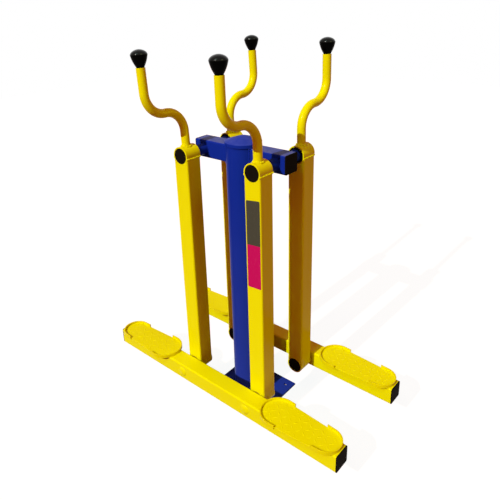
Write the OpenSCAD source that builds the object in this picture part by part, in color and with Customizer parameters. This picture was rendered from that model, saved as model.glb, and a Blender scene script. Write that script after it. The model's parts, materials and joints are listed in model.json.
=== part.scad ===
// Outdoor air walker. Two foot beams swing by themselves, one on each side of a post,
// and each hangs level from a pair of arms that turn on axles through the crossbar.
// X runs along the crossbar and the beams, Y along the axles, and Z is up.
// The origin is the middle of the base plate's underside.

/* [Stand] */
// Height of the upper pivots above the ground
axle_h = 930; // [880:1:1100]
// Distance between the two upper axles
axle_spacing = 294; // [260:1:340]
// Outside diameter of the round post
post_d = 114.3; // [90:0.1:126]
// Wall of the post
post_wall = 4; // [2:0.5:8]
// Side of the square base plate
base_w = 243; // [230:1:340]
// Thickness of the base plate
base_t = 6; // [4:1:16]
// Distance between the anchor holes, along and across
anchor_spacing = 190; // [170:1:205]
// Diameter of an anchor hole
anchor_d = 12; // [8:1:20]
// Outer side of the crossbar's square tube
crossbar_w = 60; // [50:1:70]
// Crossbar left beyond each axle, with its end cap
crossbar_overhang = 39; // [34:1:80]

/* [Post cap] */
// Height of the straight skirt that grips the post
cap_skirt_h = 12; // [6:1:20]
// Rise of the cone above the skirt
cap_cone_h = 17; // [12:1:30]
// Sheet thickness of the cap
cap_wall = 2.5; // [1.5:0.5:4]
// Gap from the crossbar's top to the skirt
cap_lift = 2; // [1:0.5:12]

/* [Arms] */
// Distance between an arm's upper and lower pivots
arm_len = 798; // [700:1:820]
// Outer side of the arm's square tube, and the length and diameter of its hubs
arm_w = 60; // [58:1:72]
// Free space between the crossbar's side and an arm
hub_gap = 49; // [30:1:80]
// Wall of every square tube
tube_wall = 3; // [2:0.5:4]
// Outer corner radius of every square tube
tube_corner_r = 5; // [4.5:0.5:9]

/* [Hubs] */
// Outside diameter of a bearing
bearing_d = 52; // [48:1:53]
// Bore of a bearing
bearing_bore = 25; // [22:1:27]
// Width of a bearing
bearing_w = 15; // [12:0.5:16]
// Diameter of the axle bars
bar_d = 30; // [28:1:31]
// Diameter of the collars round the axles
collar_d = 38; // [35:1:42]
// Thickness of the disc of a hub cap
hub_cap_t = 3; // [2:0.5:3.5]
// How far a dust seal stands out of its hub
seal_proud = 2.5; // [1:0.5:4]

/* [Handles] */
// Outside diameter of a handle tube
handle_d = 28; // [25:0.5:34]
// Wall of a handle tube
handle_wall = 3; // [2:0.5:4]
// How far the grip stands outboard of the arm
handle_reach = 143; // [141:1:180]
// Height of the first bend's start above the pivot
handle_rise = 77; // [60:1:110]
// Height of the tube's top above the pivot
handle_top = 291; // [270:1:340]
// Radius of both bends, on the tube's centre line
handle_bend_r = 70; // [45:1:70]
// Lean of the left handles away from the post, in degrees
left_handle_lean = 3.3; // [0:0.1:6]
// Lean of the right handles towards the post, in degrees
right_handle_lean = 0.7; // [0:0.1:6]
// Diameter of a knob
knob_d = 50.5; // [40:0.5:56]
// Height of a knob above the tube
knob_h = 52; // [40:1:64]
// Diameter of a knob's neck
knob_neck_d = 22; // [21.5:0.1:25]

/* [Foot beams] */
// Length of a foot beam with its end caps
beam_len = 984; // [940:1:1200]
// Outer side of a foot beam's square tube
beam_w = 60; // [50:1:70]
// Free space between an arm and its foot beam
beam_gap = 6; // [4.5:0.5:12]
// Thickness of an end cap's flange
end_cap_t = 3; // [2:0.5:5]

/* [Footplates] */
// Length of a footplate with its rims
foot_len = 283; // [240:1:300]
// Width of a footplate at its inner end, with the rim
foot_inner_w = 122; // [100:1:130]
// Width of a footplate at its outer end, with the rim
foot_outer_w = 100; // [90:1:120]
// Distance from the beam's end to the footplate
foot_inset = 5; // [0:1:20]
// Thickness of the tread plate
plate_t = 4; // [3:0.5:6]
// Thickness of the rim strip
rim_t = 4; // [3:0.5:6]
// Height of the rim above the tread plate
rim_rise = 8; // [4:0.5:12]
// Straight stretch of a rim past the middle of its round end
rim_reach = 24; // [8:1:32]

/* [Hidden] */
near = -1;
far = 1;
left = -1;
right = 1;
// Overrun of every cut
over = 1;
// Gap of seated and pressed pieces, and of the bearing seals on the turning rings
seat_gap = 0.05;
// Gap of loose plugs and of the cap's skirt
plug_gap = 0.35;
// Gap round a collar inside its dust seal
seal_gap = 0.5;

// Middle plane of the arms and of the foot beams, measured from the post's centre
arm_in = crossbar_w / 2 + hub_gap;
arm_y = arm_in + arm_w / 2;
arm_out = arm_in + arm_w;
beam_y = arm_out + beam_gap + beam_w / 2;
foot_axle_h = axle_h - arm_len;
crossbar_len = axle_spacing + 2 * crossbar_overhang;

// Bearings and the stack of pieces in a hub, from its open face inwards
bearing_inset = 5;
race_wall = 3.4;
groove_depth = 0.6;
land_w = 5;
land_h = 3;
shield_t = 1.2;
shield_inset = 0.5;
pitch_r = (bearing_d + bearing_bore) / 4;
groove_r = (bearing_d - bearing_bore) / 4 - race_wall + groove_depth;
stack_end = bearing_inset + 2 * bearing_w + land_w;
thread_d = 20;
thread_relief = 0.5;
thread_past = 2;
nut_af = 27;
nut_h = 12;
nut_flange_t = 3;
nut_flange_d = bearing_bore + 2 * race_wall;
hub_cap_wall = 2;
hub_cap_depth = 9;
seal_depth = 4;
collar_play = 1;
weld_proud = 1;
// Start of an arm's tube below a hub's centre
cope_gap = 8;

// Plugs in tube ends
plug_wall = 2;
plug_depth = 15;
knob_plug_depth = 28;
// Height of a knob's widest ring, as a share of its height
knob_waist_share = 0.7;
// Bulge of a knob's taper, and how much leaner than a quarter ellipse its dome is
knob_swell = 2;
knob_fullness = 1.08;
knob_steps = 12;

// Post cap
cap_r = post_d / 2 + plug_gap + cap_wall;
cap_edge_r = 2;
cap_edge_steps = 4;
cap_z = axle_h + crossbar_w / 2 + cap_lift;
cone_r = cap_r - cap_edge_r;
// Radius within which the cone's tip is rounded off
cone_tip_r = 12;
cone_steps = 12;
post_top = cap_z + cap_skirt_h - cap_wall;
cap_seat_w = 1.5;

// Handle path: straight up, a quarter bend outwards, a level run, a quarter bend up again
handle_run = handle_reach - 2 * handle_bend_r;
handle_grip = handle_top - handle_rise - 2 * handle_bend_r;

// Footplate outline, measured from the beam's middle
foot_in_r = foot_inner_w / 2 - rim_t;
foot_out_r = foot_outer_w / 2 - rim_t;
foot_tip = beam_len / 2 - foot_inset;
foot_in_x = foot_tip - foot_len + foot_inner_w / 2;
foot_out_x = foot_tip - foot_outer_w / 2;
foot_slope = asin((foot_in_r - foot_out_r) / (foot_out_x - foot_in_x));
// The straight sides run this little inside the tangents of the round ends
side_inset = 0.02;

blue = "#1c2c8c";
yellow = "#f0d400";
black = "#1b1815";
steel = "#a9adb2";

$fn = 64;

// Puts a piece that is drawn for the far side and the middle at its side and end.
module at_side(side) mirror([0, side < 0 ? 1 : 0, 0]) children();
module at_arm(side, end) at_side(side) translate([end * axle_spacing / 2, 0, 0]) children();

// A hub's own frame: Z runs along the axle, from the hub's open face to its cap.
module at_upper_hub() translate([0, arm_in, axle_h]) rotate([-90, 0, 0]) children();
module at_lower_hub() translate([0, arm_out, foot_axle_h]) rotate([90, 0, 0]) children();
module at_each_end() for (end = [left, right]) translate([end * axle_spacing / 2, 0, 0]) children();

// Square with round corners, made of true arcs
module rounded_square(w, r) {
    square([w - 2 * r, w], center = true);
    square([w, w - 2 * r], center = true);
    for (x = [-1, 1], y = [-1, 1])
        translate([x * (w / 2 - r), y * (w / 2 - r)]) circle(r);
}

module tube_section(w) difference() {
    rounded_square(w, tube_corner_r);
    rounded_square(w - 2 * tube_wall, tube_corner_r - tube_wall);
}

module along_x(len) rotate([90, 0, 90]) linear_extrude(len, center = true) children();
module bar_along_y(d, len) rotate([90, 0, 0]) cylinder(d = d, h = len, center = true);

module ring(outer_d, inner_d, h) difference() {
    cylinder(d = outer_d, h = h);
    translate([0, 0, -over]) cylinder(d = inner_d, h = h + 2 * over);
}

// Plastic plug for a square tube. Its flange closes the tube's end and faces +Z.
module tube_plug(w) {
    plug_w = w - 2 * tube_wall - 2 * plug_gap;
    linear_extrude(end_cap_t) rounded_square(w, tube_corner_r);
    translate([0, 0, -plug_depth]) linear_extrude(plug_depth) difference() {
        rounded_square(plug_w, tube_corner_r - tube_wall);
        square(plug_w - 2 * plug_wall, center = true);
    }
}

module plug_pair(w, len)
    for (end = [left, right])
        mirror([end < 0 ? 1 : 0, 0, 0])
            translate([len / 2 - end_cap_t, 0, 0]) rotate([90, 0, 90]) tube_plug(w);

// Stand

module base_plate() color(blue) linear_extrude(base_t) difference() {
    square(base_w, center = true);
    for (x = [-1, 1], y = [-1, 1])
        translate([x * anchor_spacing / 2, y * anchor_spacing / 2]) circle(d = anchor_d);
}

module post() color(blue) difference() {
    translate([0, 0, base_t]) cylinder(d = post_d, h = post_top - base_t);
    translate([0, 0, base_t - over]) cylinder(d = post_d - 2 * post_wall, h = post_top - base_t + 2 * over);
    translate([0, 0, axle_h]) along_x(post_d + 2 * over) rounded_square(crossbar_w, tube_corner_r);
}

// Height of the cap's cone over its edge at a distance from the middle, with the tip rounded off
function cone_drop(r) = norm([r, cone_tip_r]) - cone_tip_r;
function cone_height(r) = cap_cone_h * (1 - cone_drop(r) / cone_drop(cone_r));
// Line down the cone from its tip to a radius, lowered by a depth
function cone_line(out_r, depth) =
    [for (i = [0:cone_steps]) let (r = out_r * i / cone_steps) [r, cap_skirt_h + cone_height(r) - depth]];

module post_cap() color(blue) translate([0, 0, cap_z]) rotate_extrude() difference() {
    polygon(concat(
        cone_line(cone_r, 0),
        [for (i = [1:cap_edge_steps]) let (a = 90 - 90 * i / cap_edge_steps)
            [cone_r + cap_edge_r * cos(a), cap_skirt_h - cap_edge_r + cap_edge_r * sin(a)]],
        [[cap_r, 0], [0, 0]]
    ));
    polygon(concat(
        cone_line(post_d / 2 - post_wall - cap_seat_w, cap_wall),
        [
            [post_d / 2 - post_wall - cap_seat_w, cap_skirt_h - cap_wall],
            [post_d / 2 + plug_gap, cap_skirt_h - cap_wall],
            [post_d / 2 + plug_gap, -over],
            [0, -over]
        ]
    ));
}

module crossbar() color(blue) difference() {
    translate([0, 0, axle_h]) along_x(crossbar_len - 2 * end_cap_t) tube_section(crossbar_w);
    at_each_end() translate([0, 0, axle_h]) bar_along_y(bar_d + 2 * seat_gap, crossbar_w + 2 * over);
}

module crossbar_end_caps() color(black) translate([0, 0, axle_h]) plug_pair(crossbar_w, crossbar_len);

module upper_axles() color(steel) at_each_end() translate([0, 0, axle_h]) {
    bar_along_y(bar_d, 2 * (arm_in + bearing_inset));
    bar_along_y(bearing_bore, 2 * (arm_in + stack_end - thread_relief));
    bar_along_y(thread_d, 2 * (arm_in + stack_end + nut_h + thread_past));
}

module axle_collars() color(blue)
    for (side = [near, far], end = [left, right])
        at_arm(side, end) at_upper_hub() translate([0, 0, -hub_gap])
            ring(collar_d, bar_d + 2 * seat_gap, hub_gap + bearing_inset - collar_play);

// Pieces that stay still inside the hubs, on the axles

module inner_ring() rotate_extrude() difference() {
    translate([bearing_bore / 2 + seat_gap, 0]) square([race_wall - seat_gap, bearing_w]);
    translate([pitch_r, bearing_w / 2]) circle(groove_r);
}

module inner_ring_pair() for (z = [bearing_inset, bearing_inset + bearing_w + land_w])
    translate([0, 0, z]) inner_ring();

module spacer() translate([0, 0, bearing_inset + bearing_w])
    ring(bearing_bore + 2 * race_wall, bearing_bore + 2 * seat_gap, land_w);

module flange_nut() translate([0, 0, stack_end]) difference() {
    union() {
        cylinder(d = nut_flange_d, h = nut_flange_t);
        cylinder(d = nut_af / cos(30), h = nut_h, $fn = 6);
    }
    translate([0, 0, -over]) cylinder(d = thread_d + 2 * seat_gap, h = nut_h + 2 * over);
}

module on_upper_axles()
    for (side = [near, far], end = [left, right]) at_arm(side, end) at_upper_hub() children();
module on_lower_axles(side) for (end = [left, right]) at_arm(side, end) at_lower_hub() children();

module upper_spacers() color(steel) on_upper_axles() spacer();
module upper_inner_rings() color(steel) on_upper_axles() inner_ring_pair();
module upper_flange_nuts() color(steel) on_upper_axles() flange_nut();
module lower_spacers(side) color(steel) on_lower_axles(side) spacer();
module lower_inner_rings(side) color(steel) on_lower_axles(side) inner_ring_pair();
module lower_flange_nuts(side) color(steel) on_lower_axles(side) flange_nut();

// Arms

module arm_tube(side, end) color(yellow) at_arm(side, end) difference() {
    translate([0, arm_y, foot_axle_h + cope_gap]) linear_extrude(arm_len - 2 * cope_gap) tube_section(arm_w);
    for (z = [foot_axle_h, axle_h]) translate([0, arm_y, z]) bar_along_y(arm_w, arm_w + 2 * over);
}

// Hub with a seat for a bearing on each side of its inner land
module hub() difference() {
    cylinder(d = arm_w, h = arm_w);
    translate([0, 0, -over]) cylinder(d = bearing_d, h = over + bearing_inset + bearing_w);
    translate([0, 0, stack_end - bearing_w]) cylinder(d = bearing_d, h = arm_w);
    translate([0, 0, -over]) cylinder(d = bearing_d - 2 * land_h, h = arm_w + 2 * over);
}

module upper_hub(side, end) color(yellow) at_arm(side, end) at_upper_hub() hub();
module lower_hub(side, end) color(yellow) at_arm(side, end) at_lower_hub() hub();

// Outer ring of a bearing with its two seals, whose lips run on the inner ring
module outer_ring() rotate_extrude() {
    inner_r = bearing_bore / 2 + race_wall + seat_gap;
    outer_r = bearing_d / 2 - seat_gap;
    difference() {
        translate([bearing_d / 2 - race_wall, 0]) square([race_wall - seat_gap, bearing_w]);
        translate([pitch_r, bearing_w / 2]) circle(groove_r);
    }
    for (z = [shield_inset, bearing_w - shield_inset - shield_t])
        translate([inner_r, z]) square([outer_r - inner_r - race_wall / 2, shield_t]);
}

module outer_rings(side, end) color(steel) at_arm(side, end)
    for (z = [bearing_inset, bearing_inset + bearing_w + land_w]) {
        at_upper_hub() translate([0, 0, z]) outer_ring();
        at_lower_hub() translate([0, 0, z]) outer_ring();
    }

module dust_seal() translate([0, 0, -seal_proud])
    ring(bearing_d - 2 * seat_gap, collar_d + 2 * seal_gap, seal_proud + seal_depth);

module dust_seals(side, end) color(black) at_arm(side, end) {
    at_upper_hub() dust_seal();
    at_lower_hub() dust_seal();
}

// Round plastic cap, pressed in flush with the hub's end
module hub_cap() translate([0, 0, arm_w - hub_cap_depth]) difference() {
    cylinder(d = bearing_d - 2 * seat_gap, h = hub_cap_depth);
    translate([0, 0, -over])
        cylinder(d = bearing_d - 2 * seat_gap - 2 * hub_cap_wall, h = over + hub_cap_depth - hub_cap_t);
}

module hub_caps(side, end) color(black) at_arm(side, end) {
    at_upper_hub() hub_cap();
    at_lower_hub() hub_cap();
}

// Handles

module handle_section() difference() {
    circle(d = handle_d);
    circle(d = handle_d - 2 * handle_wall);
}

// Quarter bend round its own centre, from upright on the -Y side to level at the top
module quarter_bend() rotate([90, 0, -90])
    rotate_extrude(angle = 90) translate([handle_bend_r, 0]) handle_section();

module handle_path() {
    linear_extrude(handle_rise) handle_section();
    translate([0, handle_bend_r, handle_rise]) {
        quarter_bend();
        translate([0, 0, handle_bend_r]) rotate([-90, 0, 0]) linear_extrude(handle_run) handle_section();
        translate([0, handle_run, 2 * handle_bend_r]) rotate([180, 0, 0]) quarter_bend();
    }
    translate([0, handle_reach, handle_top - handle_grip]) linear_extrude(handle_grip) handle_section();
}

// A handle's own frame: its origin lies on the hub's axis, about which the handle leans.
module at_handle(side, end) at_arm(side, end) translate([0, arm_y, axle_h])
    rotate([0, end < 0 ? -left_handle_lean : -right_handle_lean, 0]) children();

module handle(side, end) color(yellow) at_handle(side, end) difference() {
    handle_path();
    bar_along_y(arm_w, arm_w + 2 * over);
}

// Half outline of a knob: a tapered neck that swells to its widest ring under a low dome
function knob_outline() = let (
    neck_r = knob_neck_d / 2,
    wide_r = knob_d / 2,
    waist = knob_h * knob_waist_share
) concat(
    [[0, 0]],
    [for (i = [0:knob_steps]) let (s = i / knob_steps)
        [neck_r + (wide_r - neck_r) * s + knob_swell * sin(180 * s), waist * s]],
    [for (i = [1:knob_steps]) let (a = 90 * i / knob_steps)
        [i == knob_steps ? 0 : wide_r * pow(cos(a), knob_fullness),
            waist + (knob_h - waist) * pow(sin(a), knob_fullness)]]
);

module knob(side, end) color(black) at_handle(side, end)
    translate([0, handle_reach, handle_top]) {
        rotate_extrude() polygon(knob_outline());
        translate([0, 0, -knob_plug_depth])
            cylinder(d = handle_d - 2 * handle_wall - 2 * seat_gap, h = knob_plug_depth);
    }

// Foot beams

module beam_tube(side) color(yellow) at_side(side) difference() {
    translate([0, beam_y, foot_axle_h]) along_x(beam_len - 2 * end_cap_t) tube_section(beam_w);
    at_each_end() translate([0, beam_y, foot_axle_h])
        bar_along_y(bar_d + 2 * seat_gap, beam_w + 2 * over);
}

module beam_end_caps(side) color(black) at_side(side)
    translate([0, beam_y, foot_axle_h]) plug_pair(beam_w, beam_len);

// Axle welded through the beam, with a collar turned on it and a journal for the bearings
module lower_axle() {
    beam_side = beam_gap + beam_w + weld_proud;
    translate([0, 0, -beam_side]) cylinder(d = bar_d, h = beam_side + bearing_inset);
    translate([0, 0, -beam_gap]) cylinder(d = collar_d, h = beam_gap + bearing_inset - collar_play);
    cylinder(d = bearing_bore, h = stack_end - thread_relief);
    cylinder(d = thread_d, h = stack_end + nut_h + thread_past);
}

module lower_axles(side) color(steel) on_lower_axles(side) lower_axle();

// Footplate shape: two round ends, the inner one wider, joined by straight sides
module foot_body(in_r, out_r, h) {
    in_side = in_r - side_inset;
    out_side = out_r - side_inset;
    translate([foot_in_x, 0]) cylinder(r = in_r, h = h);
    translate([foot_out_x, 0]) cylinder(r = out_r, h = h);
    linear_extrude(h) polygon([
        [foot_in_x + in_side * sin(foot_slope), in_side * cos(foot_slope)],
        [foot_out_x + out_side * sin(foot_slope), out_side * cos(foot_slope)],
        [foot_out_x + out_side * sin(foot_slope), -out_side * cos(foot_slope)],
        [foot_in_x + in_side * sin(foot_slope), -in_side * cos(foot_slope)]
    ]);
}

module on_beam(side, end) at_side(side) mirror([end < 0 ? 1 : 0, 0, 0])
    translate([0, beam_y, foot_axle_h + beam_w / 2]) children();

module footplate(side, end) color(yellow) on_beam(side, end) foot_body(foot_in_r, foot_out_r, plate_t);

// Two bent strips round a footplate's ends, open along its sides
module rim_pair() difference() {
    foot_body(foot_in_r + rim_t, foot_out_r + rim_t, plate_t + rim_rise);
    translate([0, 0, -over]) foot_body(foot_in_r, foot_out_r, plate_t + rim_rise + 2 * over);
    translate([foot_in_x + rim_reach, -foot_inner_w, -over])
        cube([foot_out_x - foot_in_x - 2 * rim_reach, 2 * foot_inner_w, plate_t + rim_rise + 2 * over]);
}

module foot_rims(side) color(yellow) for (end = [left, right]) on_beam(side, end) rim_pair();

base_plate();
post();
post_cap();
crossbar();
crossbar_end_caps();
upper_axles();
axle_collars();
upper_spacers();
upper_inner_rings();
upper_flange_nuts();

arm_tube(near, left);  // near_left_arm_tube
upper_hub(near, left);  // near_left_upper_hub
lower_hub(near, left);  // near_left_lower_hub
handle(near, left);  // near_left_handle
knob(near, left);  // near_left_knob
hub_caps(near, left);  // near_left_hub_caps
dust_seals(near, left);  // near_left_dust_seals
outer_rings(near, left);  // near_left_outer_rings

arm_tube(near, right);  // near_right_arm_tube
upper_hub(near, right);  // near_right_upper_hub
lower_hub(near, right);  // near_right_lower_hub
handle(near, right);  // near_right_handle
knob(near, right);  // near_right_knob
hub_caps(near, right);  // near_right_hub_caps
dust_seals(near, right);  // near_right_dust_seals
outer_rings(near, right);  // near_right_outer_rings

arm_tube(far, left);  // far_left_arm_tube
upper_hub(far, left);  // far_left_upper_hub
lower_hub(far, left);  // far_left_lower_hub
handle(far, left);  // far_left_handle
knob(far, left);  // far_left_knob
hub_caps(far, left);  // far_left_hub_caps
dust_seals(far, left);  // far_left_dust_seals
outer_rings(far, left);  // far_left_outer_rings

arm_tube(far, right);  // far_right_arm_tube
upper_hub(far, right);  // far_right_upper_hub
lower_hub(far, right);  // far_right_lower_hub
handle(far, right);  // far_right_handle
knob(far, right);  // far_right_knob
hub_caps(far, right);  // far_right_hub_caps
dust_seals(far, right);  // far_right_dust_seals
outer_rings(far, right);  // far_right_outer_rings

beam_tube(near);  // near_beam_tube
beam_end_caps(near);  // near_beam_end_caps
footplate(near, left);  // near_left_footplate
footplate(near, right);  // near_right_footplate
foot_rims(near);  // near_foot_rims
lower_axles(near);  // near_lower_axles
lower_spacers(near);  // near_lower_spacers
lower_inner_rings(near);  // near_lower_inner_rings
lower_flange_nuts(near);  // near_lower_flange_nuts

beam_tube(far);  // far_beam_tube
beam_end_caps(far);  // far_beam_end_caps
footplate(far, left);  // far_left_footplate
footplate(far, right);  // far_right_footplate
foot_rims(far);  // far_foot_rims
lower_axles(far);  // far_lower_axles
lower_spacers(far);  // far_lower_spacers
lower_inner_rings(far);  // far_lower_inner_rings
lower_flange_nuts(far);  // far_lower_flange_nuts
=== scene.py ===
"""Outdoor air walker: finishes, welds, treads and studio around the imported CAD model.

The axes are the CAD model's: X along the crossbar and the foot beams, Y along the
axles towards the far foot beam, Z up, with the origin under the middle of the base plate.
Lengths are in metres unless a name ends in _mm, and angles in degrees unless a class says radians.
"""

from __future__ import annotations

import json
import logging
import math
from dataclasses import dataclass, field
from enum import Enum
from typing import Any, Callable, Sequence

import bmesh
import bpy
from mathutils import Matrix, Vector


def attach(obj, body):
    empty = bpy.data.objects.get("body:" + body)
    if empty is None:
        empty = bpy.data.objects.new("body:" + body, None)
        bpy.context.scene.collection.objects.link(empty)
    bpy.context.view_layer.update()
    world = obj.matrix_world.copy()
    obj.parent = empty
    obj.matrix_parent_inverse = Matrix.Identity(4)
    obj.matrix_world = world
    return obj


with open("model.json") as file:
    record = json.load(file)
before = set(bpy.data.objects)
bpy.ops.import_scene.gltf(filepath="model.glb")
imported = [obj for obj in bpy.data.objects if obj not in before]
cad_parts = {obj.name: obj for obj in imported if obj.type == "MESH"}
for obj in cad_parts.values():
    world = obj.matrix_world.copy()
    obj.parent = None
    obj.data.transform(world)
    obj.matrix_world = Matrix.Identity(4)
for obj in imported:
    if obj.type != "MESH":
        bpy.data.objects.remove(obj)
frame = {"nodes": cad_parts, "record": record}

LOG = logging.getLogger("air_walker")
MM = 0.001
FULL_TURN = 2.0 * math.pi
TUBE_WIDTH = 60.0 * MM
AXLE_SPACING = 0.294
UPPER_AXLE_HEIGHT = 0.930
BEAM_MIDDLE = 0.175

Point = tuple[float, float, float]
Colour = tuple[float, float, float]
Path = list[Point]
Seam = tuple[Path, bool]
Mesh = bpy.types.Mesh
Material = bpy.types.Material


def linear(colour: Colour) -> tuple[float, float, float, float]:
    """Turns a colour from screen values to the linear values that shaders use.

    Args:
        colour: red, green and blue from 0 to 255, as a screen shows them.

    Returns:
        Linear red, green and blue from 0 to 1, with an alpha of 1.
    """
    threshold, slope, offset, power = 0.04045, 12.92, 0.055, 2.4
    values = [c / 255.0 for c in colour]
    out = [v / slope if v <= threshold else ((v + offset) / (1.0 + offset)) ** power for v in values]
    return (out[0], out[1], out[2], 1.0)


class Expr:
    """A node's output wrapped so that Python arithmetic adds Math nodes to its tree."""

    def __init__(self, graph: Graph, socket: bpy.types.NodeSocket) -> None:
        """Keeps the graph and the socket that this expression stands for."""
        self.graph = graph
        self.socket = socket

    def math(self, operation: str, *others: Any) -> Expr:
        """Returns this and further numbers or expressions put through one Math node."""
        inputs = {0: self} | {i + 1: o for i, o in enumerate(others)}
        return self.graph.node("ShaderNodeMath", {"operation": operation}, inputs)

    def __add__(self, other: Any) -> Expr:
        """Returns the sum."""
        return self.math("ADD", other)

    __radd__ = __add__

    def __sub__(self, other: Any) -> Expr:
        """Returns the difference."""
        return self.math("SUBTRACT", other)

    def __rsub__(self, other: Any) -> Expr:
        """Returns the difference with the operands in their written order."""
        return self.graph.node("ShaderNodeMath", {"operation": "SUBTRACT"}, {0: other, 1: self})

    def __mul__(self, other: Any) -> Expr:
        """Returns the product."""
        return self.math("MULTIPLY", other)

    __rmul__ = __mul__

    def __truediv__(self, other: Any) -> Expr:
        """Returns the quotient."""
        return self.math("DIVIDE", other)

    def __gt__(self, other: Any) -> Expr:
        """Returns 1 where this is greater, else 0."""
        return self.math("GREATER_THAN", other)

    def __lt__(self, other: Any) -> Expr:
        """Returns 1 where this is less, else 0."""
        return self.math("LESS_THAN", other)

    def clamp(self) -> Expr:
        """Returns this held between 0 and 1."""
        return self.graph.node("ShaderNodeClamp", {}, {"Value": self})


class Graph:
    """Adds nodes to a shader or geometry tree and links them."""

    def __init__(self, tree: bpy.types.NodeTree) -> None:
        """Keeps the tree that nodes are added to."""
        self.tree = tree

    def add(self, kind: str, settings: dict[str, Any], inputs: dict[Any, Any]) -> bpy.types.Node:
        """Adds one node.

        Args:
            kind: the node's type.
            settings: attributes to set before the sockets.
            inputs: values, expressions or sockets by input name or index.

        Returns:
            The node.
        """
        node = self.tree.nodes.new(kind)
        for key, value in settings.items():
            setattr(node, key, value)
        for key, value in inputs.items():
            socket = node.inputs[key]
            if isinstance(value, Expr):
                self.tree.links.new(value.socket, socket)
            elif isinstance(value, bpy.types.NodeSocket):
                self.tree.links.new(value, socket)
            else:
                socket.default_value = value
        return node

    def node(self, kind: str, settings: dict[str, Any], inputs: dict[Any, Any], output: Any = 0) -> Expr:
        """Adds one node and returns one of its outputs as an expression."""
        return Expr(self, self.add(kind, settings, inputs).outputs[output])

    def vector_math(self, operation: str, *inputs: Any, output: Any = 0) -> Expr:
        """Adds one Vector Math node and returns one of its outputs."""
        return self.node("ShaderNodeVectorMath", {"operation": operation}, dict(enumerate(inputs)), output)

    def split(self, vector: Any) -> tuple[Expr, ...]:
        """Returns the three parts of a vector."""
        node = self.add("ShaderNodeSeparateXYZ", {}, {0: vector})
        return tuple(Expr(self, part) for part in node.outputs)

    def join(self, x: Any, y: Any, z: Any) -> Expr:
        """Returns a vector made of three parts."""
        return self.node("ShaderNodeCombineXYZ", {}, {0: x, 1: y, 2: z})


class ShaderGraph(Graph):
    """The node tree of one material, with the patterns that several finishes share."""

    # Socket numbers of a Mix node that mixes colours.
    COLOUR_A, COLOUR_B, COLOUR_OUT = 6, 7, 2
    ROUNDING_SAMPLES = 6
    EDGE_GAIN = 9.0

    def __init__(self, name: str) -> None:
        """Makes an empty material.

        Args:
            name: the material's name.
        """
        self.material = bpy.data.materials.new(name)
        self.material.use_nodes = True
        super().__init__(self.material.node_tree)
        self.tree.nodes.clear()
        self.place = self.node("ShaderNodeTexCoord", {}, {}, "Object")

    def noise(self, per_metre: float, detail: float = 2.0, stretch: Point = (1.0, 1.0, 1.0)) -> Expr:
        """Returns noise from 0 to 1 by its blots per metre, finer octaves and density along each axis."""
        place = self.vector_math("MULTIPLY", self.place, stretch)
        return self.node("ShaderNodeTexNoise", {}, {"Vector": place, "Scale": per_metre, "Detail": detail})

    def paint(self, colour: Colour | Expr) -> Any:
        """Returns a plain colour in linear values and an expression as it is."""
        return colour if isinstance(colour, Expr) else linear(colour)

    def mix(self, share: Any, base: Colour | Expr, over: Colour | Expr) -> Expr:
        """Returns one colour laid over another by a share from 0 to 1."""
        inputs = {0: share, self.COLOUR_A: self.paint(base), self.COLOUR_B: self.paint(over)}
        return self.node("ShaderNodeMix", {"data_type": "RGBA"}, inputs, self.COLOUR_OUT)

    def rounded_normal(self, radius: float) -> Expr:
        """Returns the surface's normal with its sharp edges rounded to a radius."""
        return self.node("ShaderNodeBevel", {"samples": self.ROUNDING_SAMPLES}, {"Radius": radius})

    def edges(self, rounded: Expr) -> Expr:
        """Finds sharp edges by how far the rounded normal leans from the face's own.

        Args:
            rounded: the rounded normal.

        Returns:
            1 on sharp edges and 0 on open faces.
        """
        sharp = self.node("ShaderNodeNewGeometry", {}, {}, "Normal")
        same = self.vector_math("DOT_PRODUCT", rounded, sharp, output="Value")
        return ((1.0 - same) * self.EDGE_GAIN).clamp()

    def facing_up(self) -> Expr:
        """Returns 1 on faces that look up and 0 on all others."""
        return self.split(self.node("ShaderNodeNewGeometry", {}, {}, "Normal"))[2].clamp()

    def bump(self, height: Any, depth: float, strength: float, normal: Any = None) -> Expr:
        """Bends a normal by a height.

        Args:
            height: the height, from 0 to 1.
            depth: what a height of 1 stands for, in metres.
            strength: share of the effect.
            normal: the normal to bend, or None for the surface's own.

        Returns:
            The bent normal.
        """
        inputs = {"Height": height, "Distance": depth, "Strength": strength}
        if normal is not None:
            inputs["Normal"] = normal
        return self.node("ShaderNodeBump", {}, inputs)

    def finish(self, **sockets: Any) -> Material:
        """Adds the surface shader.

        Args:
            sockets: the shader's inputs, with underscores for spaces.

        Returns:
            The finished material.
        """
        inputs = {key.replace("_", " "): value for key, value in sockets.items()}
        surface = self.add("ShaderNodeBsdfPrincipled", {}, inputs)
        self.add("ShaderNodeOutputMaterial", {}, {"Surface": surface.outputs[0]})
        return self.material


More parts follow.
